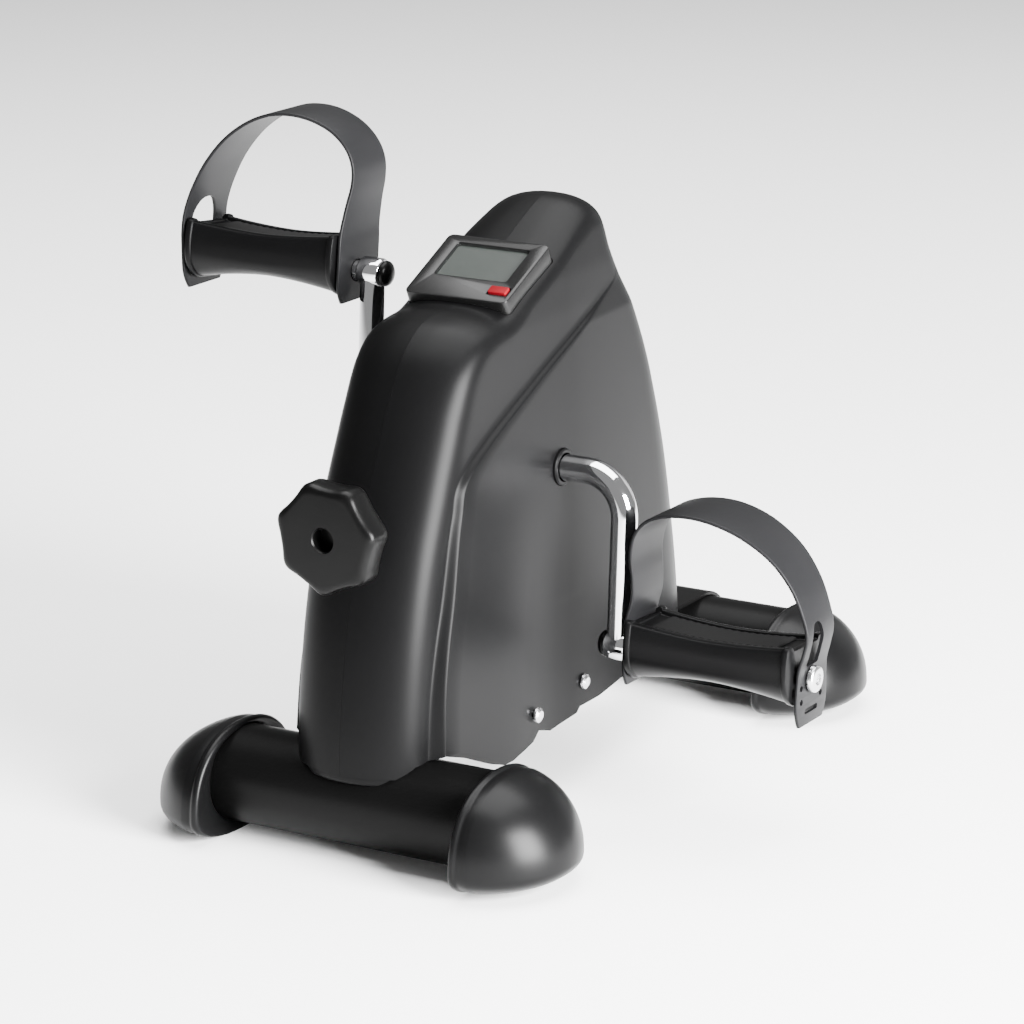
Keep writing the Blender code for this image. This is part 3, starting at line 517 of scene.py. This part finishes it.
def make_tail_plate(mats):
    """Steel plate that leaves the shroud under the tail and lies over the rear tube."""
    arc = [radians(88 - 5 * k) for k in range(9)]
    low, high = TUBE_R + PLATE_GAP, TUBE_R + PLATE_TOP
    under = [(TUBE_Y + low * cos(a), TUBE_Z + low * sin(a)) for a in arc]
    over = [(TUBE_Y + high * cos(a), TUBE_Z + high * sin(a)) for a in arc]
    crest = TUBE_Z + TUBE_R
    outline = [(PLATE_START_Y, crest + 0.4), (PLATE_TOUCH_Y, crest + PLATE_GAP)] + under + over[::-1]
    outline.append((PLATE_START_Y, crest + PLATE_TOP))
    plate = side_prism("tail_plate", outline, -PLATE_HALF, PLATE_HALF, mats["tube"])
    shade(bevelled(plate, PLATE_EDGE))
    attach(plate, "base")


# ---------------------------------------------------------------- shroud

def edge_distance(loop, y, z):
    """Distance to the outline, and the share of the way round it to the nearest point."""
    best, where = 1e9, 0.0
    for i, (ay, az, sy, sz, ll) in enumerate(loop):
        t = ((y - ay) * sy + (z - az) * sz) / ll
        t = 0.0 if t < 0 else 1.0 if t > 1 else t
        d = hypot(y - ay - t * sy, z - az - t * sz)
        if d < best:
            best, where = d, (i + t) / len(loop)
    return best, where


def half_width(loop, y, z, panel):
    """Half width at a side position; panel is 0 on the nose and 1 on the raised side."""
    distance, where = edge_distance(loop, y, z)
    depth = lookup(EDGE_ROUNDING, where, 1)
    power = lookup(EDGE_ROUNDING, where, 2)
    width = lookup(NOSE_WIDTH, z) * (1 - panel) + lookup(PANEL_WIDTH, z) * panel
    width -= TAPER * max(0.0, (y + 20) / 180) ** 1.5
    hollow = exp(-((y - HOLLOW_Y) / HOLLOW_REACH) ** 2)
    if y >= HOLLOW_EDGE_Y:
        hollow *= HOLLOW_REAR_SHARE
    width -= HOLLOW_DEPTH * hollow * panel * (1 - smooth_step(*HOLLOW_FADE, z))
    q = max(0.0, 1 - distance / depth)
    return width * max(0.0, 1 - q ** power) ** (1 / power)


def outline_loop():
    """The whole outline as straight pieces: start, direction and squared length."""
    points = smooth_curve(FRONT_OUTLINE + [CROWN_END] + REAR_OUTLINE[::-1], 200)
    loop = []
    for a, b in zip(points, points[1:]):
        side = b - a
        loop.append((a[0], a[1], side[0], side[1], side.length_squared))
    return loop


def shroud_row(front, foot, rear):
    """Side positions across one row as (y, z, panel), crowded towards the outline and the step."""
    back = rear - foot
    top = foot + back.normalized() * min(STEP_BAND, 0.4 * back.length)
    row = []
    for k in range(NOSE_COLUMNS):
        row.append((*front.lerp(foot, (k / NOSE_COLUMNS) ** NOSE_CROWDING), 0.0))
    for k in range(STEP_COLUMNS):
        t = k / STEP_COLUMNS
        row.append((*foot.lerp(top, t), smooth_step(0, 1, t)))
    for k in range(PANEL_COLUMNS + 1):
        row.append((*top.lerp(rear, 1 - (1 - k / PANEL_COLUMNS) ** PANEL_CROWDING), 1.0))
    return row


def shroud_skin(name, side, mat):
    """One side of the shroud as an open skin, row by row from the foot to the crown."""
    loop = outline_loop()
    front, foot, rear = (smooth_curve(line, ROWS) for line in (FRONT_OUTLINE, STEP_FOOT, REAR_OUTLINE))
    rows = [shroud_row(*points) for points in zip(front, foot, rear)]
    count = len(rows[0])
    rows[-1] = [(*p, 0.0) for p in smooth_curve([front[-1], CROWN_END, rear[-1]], count)]
    bm = bmesh.new()
    grid = []
    for k, row in enumerate(rows):
        line = []
        for j, (y, z, panel) in enumerate(row):
            rim = j in (0, count - 1) or k == ROWS - 1
            x = 0.0 if rim else half_width(loop, y, z, panel)
            line.append(bm.verts.new((side * x, y, z)))
        grid.append(line)
    for low, high in zip(grid, grid[1:]):
        for j in range(count - 1):
            corners = (low[j], low[j + 1], high[j + 1], high[j])
            bm.faces.new(corners if side > 0 else corners[::-1])
    bmesh.ops.scale(bm, vec=(MM, MM, MM), verts=bm.verts)
    mesh = bpy.data.meshes.new(name)
    bm.to_mesh(mesh)
    bm.free()
    return add_mesh(name, mesh, mat)


def side_prism(name, outline, low, high, mat):
    """A (y, z) outline given a depth across X."""
    return loft(name, [[Vector((x, u, v)) for u, v in outline] for x in (low, high)], mat)


def slope_point(x, along, up):
    """A place in the display's frame, in the frame of the model."""
    return Vector((x, CONSOLE_MID[1] + along * cos(SLOPE) - up * sin(SLOPE),
                   CONSOLE_MID[2] + along * sin(SLOPE) + up * cos(SLOPE)))


def slope_plate(name, half_x, half_y, low, high, corner, mat, x=0.0, y=0.0):
    """A plate with rounded corners that lies in the slope, between two heights over it."""
    corners = [(half_x, half_y), (-half_x, half_y), (-half_x, -half_y), (half_x, -half_y)]
    outline = rounded_outline(corners, [corner] * 4, 8)
    return loft(name, [[slope_point(x + u, y + v, z) for u, v in outline] for z in (low, high)], mat)


def make_shroud(mats):
    """Two thin halves, opened for the axle, the knob, the display and the screws."""
    mat = mats["shroud"]
    below = [(-230, -10)] + SKIRT + [(180, -10)]
    beside = [(-260, -20), (260, -20), (260, 400), (-260, 400)]
    bore = [(-80, SHROUD_HOLE_R), (80, SHROUD_HOLE_R)]
    for tag, side in (("right", 1), ("left", -1)):
        half = shroud_skin(f"shroud_{tag}_half", side, mat)
        wall = half.modifiers.new("wall", "SOLIDIFY")
        wall.thickness = WALL * MM
        wall.offset = -1.0
        wall.use_even_offset = True
        carve(half, [side_prism("skirt_tool", below, -90, 90, mat)], crossing=True)
        tools = [turned("axle_tool", "X", (0, AXLE_Y, AXLE_Z), bore, mat),
                 turned("knob_tool", "Y", (0, 0, KNOB_Z), [(-230, 9.0), (-150, 9.0)], mat),
                 slope_plate("console_tool", CONSOLE_X + 0.3, CONSOLE_Y + 0.3, -30, 30, 4.0, mat),
                 side_prism("other_tool", beside, *sorted((SEAM_GAP * side, -60 * side)), mat)]
        hole = [(side * 35, 2.8), (side * 60, 2.8)]
        for y, z in SCREW_SPOTS:
            tools.append(turned("screw_tool", "X", (0, y, z), hole, mat, 32))
        shade(carve(half, tools), 32.0)
        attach(half, "base")
        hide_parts("shroud_" + tag)


# ---------------------------------------------------------------- cranks and pedals

def pedal_axis(side):
    """A point on the middle plane in line with a pedal's spindle."""
    lean, drop = side * CRANK_R * sin(CRANK_LEAN), side * CRANK_R * cos(CRANK_LEAN)
    return Vector((0, AXLE_Y - lean, AXLE_Z - drop))


def make_crank(tag, side, mats):
    """Chromed rod with a bend and a domed end, and the eye that holds the spindle."""
    down = Vector((0, -sin(CRANK_LEAN), -cos(CRANK_LEAN))) * side
    out = Vector((side, 0, 0))
    axle = Vector((0, AXLE_Y, AXLE_Z))
    corner = axle + out * (LEG_X - BEND_R)
    points, tangents, radii = [axle + out * 0.6, corner], [out, out], [ROD_R, ROD_R]
    for k in range(1, 25):
        a = radians(90 * k / 24)
        points.append(corner + down * BEND_R * (1 - cos(a)) + out * BEND_R * sin(a))
        tangents.append(out * cos(a) + down * sin(a))
        radii.append(ROD_R)
    leg = axle + out * LEG_X
    for k in range(9):
        a = 0.5 * pi * k / 8
        points.append(leg + down * (CRANK_R + 5.0 * sin(a) - 1))
        tangents.append(down)
        radii.append(max(0.4, ROD_R * cos(a)))
    bar = shade(swept(f"crank_bar_{tag}", points, tangents, out.cross(down), radii, mats["chrome"]))
    eye = pedal_axis(side)
    low, high = side * (LEG_X - EYE_HALF), side * (LEG_X + EYE_HALF)
    profile = [(low, 4.6), (low, EYE_R - 1.8), (low + side * 0.6, EYE_R - 0.7),
               (low + side * 2.0, EYE_R), (high - side * 2.0, EYE_R),
               (high - side * 0.6, EYE_R - 0.7), (high, EYE_R - 1.8), (high, 4.6)]
    boss = shade(turned(f"crank_eye_{tag}", "X", eye, profile, mats["chrome"], 64, True))
    for piece in (bar, boss):
        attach(piece, "crank")
    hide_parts("crank_" + tag)


def waist_at(share):
    """How far a pedal has drawn in at a share of its length, from 0 at the ends to 1 in the middle."""
    return 1 - abs(2 * share - 1) ** WAIST_POWER


def pedal_section(share, turn, flange, shrink):
    """Outline of a pedal across its length: two ridges over a rounded belly."""
    waist = waist_at(share)
    top = PEDAL_LIFT + PEDAL_TOP - WAIST_TOP * waist
    bottom = PEDAL_LIFT - PEDAL_TOP + WAIST_BELLY * waist
    wide = 22.2 - 1.2 * waist
    half = [(wide, PEDAL_LIFT - 7), (wide + 0.4, PEDAL_LIFT + 6), (wide - 1.6, top), (wide - 6.8, top),
            (wide - 7.8, top - 2.4)]
    corners = half + [(-v, w) for v, w in half[::-1]] + [(-13, bottom), (13, bottom)]
    radii = [6, 5, 2.4, 1.2, 0.8, 0.8, 1.2, 2.4, 5, 6, 9, 9]
    outline = rounded_outline(corners, radii, 5)
    return [turn @ Vector((0, v * flange * shrink, w * flange * shrink)) for v, w in outline]


def make_pedal(tag, side, pitch, mats):
    """Waisted moulding with a flange at each end, and the ribbed grip along its top."""
    body = f"pedal_{tag}_body"
    axis = pedal_axis(side)
    turn = Matrix.Rotation(pitch, 3, "X")
    length = PEDAL_OUT - PEDAL_IN
    stations = [(0.0, 1.05, 0.955), (0.004, 1.05, 0.985), (0.012, 1.05, 1.0), (0.03, 1.05, 1.0),
                (0.036, 1.04, 1.0), (0.04, 1.0, 1.0)]
    stations += [(0.04 + 0.92 * k / 30, 1.0, 1.0) for k in range(1, 30)]
    stations += [(1 - s, flange, shrink) for s, flange, shrink in stations[5::-1]]
    rings, strip = [], []
    for share, flange, shrink in stations:
        x = side * (PEDAL_IN + length * share)
        rings.append([axis + Vector((x, 0, 0)) + p for p in pedal_section(share, turn, flange, shrink)])
    pedal = loft(f"pedal_{tag}_moulding", rings, mats["pedal"])
    hole = turned("pedal_tool", "X", axis, [(side * 90, 6.1), (side * 215, 6.1)], mats["pedal"], 48)
    shade(carve(pedal, [hole]))
    for k in range(33):
        share = 0.12 + 0.76 * k / 32
        top = PEDAL_LIFT + PEDAL_TOP - WAIST_TOP * waist_at(share) - 0.9
        rise = 0.35 * (k % 2)
        flat = [(12.6, top - 1.2), (12.6, top - 0.4), (12.2, top + rise),
                (-12.2, top + rise), (-12.6, top - 0.4), (-12.6, top - 1.2)]
        x = side * (PEDAL_IN + length * share)
        strip.append([axis + Vector((x, 0, 0)) + turn @ Vector((0, v, w)) for v, w in flat])
    tread = shade(loft(f"tread_{tag}_grip", strip, mats["tread"]), 20)
    for piece, node in ((pedal, "pedal_" + tag), (tread, "tread_" + tag)):
        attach(piece, body)
        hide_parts(node)


def make_strap(tag, side, path, window, slot_z, mats):
    """Moulded strap: a band with soft edges, a window, adjusting holes and a slot."""
    axis = pedal_axis(side)
    line = smooth_curve(path, 150)
    thick = STRAP_THICK / 2
    rings = []
    for i, (x, z, shift, half) in enumerate(line):
        ahead = line[min(i + 1, len(line) - 1)] - line[max(i - 1, 0)]
        normal = Vector((-ahead[1], ahead[0])).normalized()
        share = i / (len(line) - 1)
        from_end = min(share, 1 - share)
        half -= STRAP_END_NARROWING * max(0.0, 1 - from_end / STRAP_END_SHARE) ** 2
        corners = [(-half, -thick), (half, -thick), (half, thick), (-half, thick)]
        ring = []
        for across, lift in rounded_outline(corners, [0.8] * 4, 3):
            ring.append(axis + Vector((side * (x + normal[0] * lift), across + shift, z + normal[1] * lift)))
        rings.append(ring)
    strap = loft(f"strap_{tag}_band", rings, mats["strap"])
    arch = [(window, 8), (window, 24), (0.5 * window, 33),
            (-0.5 * window, 33), (-window, 24), (-window, 8)]
    arch = rounded_outline(arch, [2, 7, 6, 6, 7, 2], 4)
    slot = [(7.5, slot_z), (7.5, slot_z - 3), (-7.5, slot_z - 3), (-7.5, slot_z)]
    slot = rounded_outline(slot, [1.4] * 4, 4)
    small = [(side * 190, 1.8), (side * 220, 1.8)]
    tools = [turned("pin_tool", "X", axis, [(side * 90, 6.6), (side * 220, 6.6)], mats["strap"], 48)]
    for outline in (arch, slot):
        cut = [(axis.y + v, axis.z + w) for v, w in outline]
        tools.append(side_prism("window_tool", cut, side * 188, side * 222, mats["strap"]))
    for v in (-11.5, 11.5):
        for w in (-3, -11):
            hole = axis + Vector((0, v, w))
            tools.append(turned("hole_tool", "X", hole, small, mats["strap"], 24))
    shade(carve(strap, tools), 35)
    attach(strap, f"pedal_{tag}_body")
    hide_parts("strap_" + tag)


def make_pin(tag, side, mats):
    """Steel pin with a low round head, and the small domed nut on the inner side of the crank."""
    axis = pedal_axis(side)
    shoulder, face = LEG_X + EYE_HALF + 0.3, LEG_X - EYE_HALF - 0.3
    head = [(0, SPINDLE_R), (0, 7.0), (0.4, 7.6), (2.4, 7.6), (3.2, 7.1), (3.8, 5.8), (3.8, 3.4),
            (2.6, 3.2), (2.6, 0.2)]
    head = [(SPINDLE_END + along, radius) for along, radius in head]
    pin = [(face - 1.6, 0.2), (face - 1.6, 4.4), (shoulder, 4.4), (shoulder, SPINDLE_R)] + head
    steel = turned(f"pin_{tag}", "X", axis, [(side * x, r) for x, r in pin], mats["zinc"], 64)
    shell = [(0, 4.6), (0, 7.0), (0.4, 7.4), (1.4, 7.4), (2.3, 6.9), (3.2, 5.8), (3.9, 4.0), (4.3, 2.0),
             (4.4, 0.2), (2.2, 0.2), (2.2, 4.6)]
    shell = [(face - along, radius) for along, radius in shell]
    nut = turned(f"nut_{tag}", "X", axis, [(side * x, r) for x, r in shell], mats["knob"], 64, True)
    for piece, node in ((steel, "spindle_" + tag), (nut, "cap_nut_" + tag)):
        shade(piece)
        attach(piece, "crank")
        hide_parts(node)


def make_drive(mats):
    """Crank, spindle, pedal and strap on each side; a strap has its own window, slot and pedal pitch."""
    sides = (("right", 1, RIGHT_STRAP, 7, -16, radians(-2)),
             ("left", -1, LEFT_STRAP, 12, -10.5, radians(-6)))
    for tag, side, path, window, slot_z, pitch in sides:
        make_crank(tag, side, mats)
        make_pin(tag, side, mats)
        make_pedal(tag, side, pitch, mats)
        make_strap(tag, side, path, window, slot_z, mats)


# ---------------------------------------------------------------- knob and display

def knob_ring(y, share, lobe):
    """Cross-section of the knob; lobe is 1 at full valleys and 0 for a circle."""
    ring = []
    count = 24 * LOBES
    for k in range(count):
        phase = (k / 24 + 0.5) % 1.0 - 0.5
        radius = share * KNOB_R - VALLEY * lobe * (1 - exp(-(phase / 0.24) ** 2))
        a = 2 * pi * k / count + LOBE_TURN
        ring.append(Vector((radius * cos(a), KNOB_FACE + y, KNOB_Z + radius * sin(a))))
    return ring


def make_knob(mats):
    """Lobed knob with a neck behind and a round recess in its face; sections are (along, size, lobe)."""
    sections = [(0.0, 0.8, 0.35), (0.15, 0.86, 0.55), (0.6, 0.915, 0.75), (1.4, 0.955, 0.9),
                (2.6, 0.985, 1.0), (4.2, 1.0, 1.0), (14.6, 1.0, 1.0), (16.4, 0.985, 1.0),
                (17.8, 0.95, 0.9), (18.7, 0.9, 0.7), (19.1, 0.82, 0.45), (19.3, 0.5, 0.0),
                (19.6, 0.4, 0.0), (33.0, 0.37, 0.0)]
    knob = loft("knob_lobed", [knob_ring(*s) for s in sections], mats["knob"])
    recess = [(KNOB_FACE + along, radius) for along, radius in ((-5, 7.4), (0.2, 7.2), (1.0, 6.6), (9, 6.4))]
    shade(carve(knob, [turned("face_tool", "Y", (0, 0, KNOB_Z), recess, mats["knob"], 48)]), 34)
    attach(knob, "knob_body")
    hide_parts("knob")


def make_console(mats):
    """Thin case with wells for the window and the button, and the red button."""
    mat = mats["console"]
    case = slope_plate("console_body", CONSOLE_X, CONSOLE_Y, -14, 0, 4.2, mat)
    window = slope_plate("window_tool", WINDOW_X, WINDOW_Y, -5.4, 5, 1.6, mat, y=WINDOW_MID_Y)
    well = slope_plate("button_tool", BUTTON_X + 0.5, BUTTON_Y + 0.5, -5.4, 5, 1.2, mat,
                       x=BUTTON_MID_X, y=BUTTON_MID_Y)
    carve(case, [window, well])
    shade(settled(bevelled(case, 0.7)), 50)
    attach(case, "base")
    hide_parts("console_case")
    button = slope_plate("button_cap", BUTTON_X, BUTTON_Y, -3.6, 1.2, 1.1, mats["button"],
                         x=BUTTON_MID_X, y=BUTTON_MID_Y)
    shade(settled(bevelled(button, 0.45)), 50)
    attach(button, "button_body")
    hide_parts("reset_button")


# ---------------------------------------------------------------- frame finish

def dress_frame(nodes, mats):
    """Materials for the CAD pieces that keep their own shape."""
    slots = {
        "tube": ("frame_spine", "rear_bracket", "side_plate_right", "side_plate_left",
                 "knob_bracket", "carrier_guide", "screw_tab_right", "screw_tab_left"),
        "shroud": ("bush_right", "bush_left"),
        "bronze": ("bearing_right", "bearing_left", "knob_bushing"),
        "zinc": ("crank_hub", "sensor_magnet", "tension_screw", "pad_carrier", "battery", "battery_clip",
                 "shroud_screw_right_front", "shroud_screw_right_rear",
                 "shroud_screw_left_front", "shroud_screw_left_rear"),
        "iron": ("drag_wheel",),
        "felt": ("brake_pad",),
        "lcd": ("lcd_panel",),
        "lens": ("lcd_lens",),
        "board": ("display_board", "sensor_reed"),
    }
    for key, names in slots.items():
        for name in names:
            node = nodes[name]
            node.data.materials.clear()
            node.data.materials.append(mats[key])


# ---------------------------------------------------------------- stage

def area_light(name, place, target, size, power):
    """A rectangular light aimed at a target."""
    data = bpy.data.lights.new(name, "AREA")
    data.shape = "RECTANGLE"
    data.size, data.size_y = size
    data.energy = power
    lamp = bpy.data.objects.new(name, data)
    lamp.location = Vector(place)
    lamp.rotation_euler = (Vector(target) - Vector(place)).to_track_quat("-Z", "Y").to_euler()
    bpy.context.scene.collection.objects.link(lamp)


def make_stage():
    """Pale floor, even surroundings and the studio lights."""
    mesh = bpy.data.meshes.new("floor")
    bm = bmesh.new()
    bmesh.ops.create_grid(bm, x_segments=1, y_segments=1, size=6.0)
    bm.to_mesh(mesh)
    bm.free()
    made, _, shader = nodes_of("pale_floor")
    shader.inputs["Base Color"].default_value = (FLOOR_SHADE, FLOOR_SHADE, FLOOR_SHADE, 1.0)
    shader.inputs["Roughness"].default_value = 0.9
    floor = add_mesh("floor", mesh, made)
    world = bpy.data.worlds.new("studio")
    world.use_nodes = True
    sky = world.node_tree.nodes["Background"]
    sky.inputs["Color"].default_value = (1.0, 1.0, 1.0, 1.0)
    sky.inputs["Strength"].default_value = WORLD_STRENGTH
    bpy.context.scene.world = world
    for light in LIGHTS:
        area_light(*light)


def make_camera():
    """Camera at a distance from its target, turned by azimuth, elevation and roll."""
    a, e, r = CAMERA_AZIMUTH, CAMERA_ELEVATION, CAMERA_ROLL
    back = Vector((sin(a) * cos(e), -cos(a) * cos(e), sin(e)))
    right = (-back).cross(Vector((0, 0, 1))).normalized()
    up = right.cross(-back)
    across = right * cos(r) + up * sin(r)
    above = up * cos(r) - right * sin(r)
    data = bpy.data.cameras.new("camera")
    data.lens = CAMERA_LENS
    data.sensor_width = 36.0
    data.clip_end = 50.0
    camera = bpy.data.objects.new("camera", data)
    turn = Matrix((across, above, back)).transposed().to_4x4()
    camera.matrix_world = Matrix.Translation((Vector(CAMERA_TARGET) + back * CAMERA_DISTANCE) * MM) @ turn
    bpy.context.scene.collection.objects.link(camera)
    bpy.context.scene.camera = camera


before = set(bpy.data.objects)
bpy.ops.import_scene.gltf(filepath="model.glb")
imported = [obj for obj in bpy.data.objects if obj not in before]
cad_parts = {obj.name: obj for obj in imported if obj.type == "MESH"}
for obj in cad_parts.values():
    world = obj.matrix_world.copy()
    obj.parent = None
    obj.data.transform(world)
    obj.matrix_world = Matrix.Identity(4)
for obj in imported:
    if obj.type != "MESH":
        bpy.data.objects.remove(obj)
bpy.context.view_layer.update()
make_camera()
materials = make_materials()
dress_frame(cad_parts, materials)
make_base(materials)
make_saddle(materials)
make_tail_plate(materials)
make_shroud(materials)
make_drive(materials)
make_knob(materials)
make_console(materials)
make_stage()
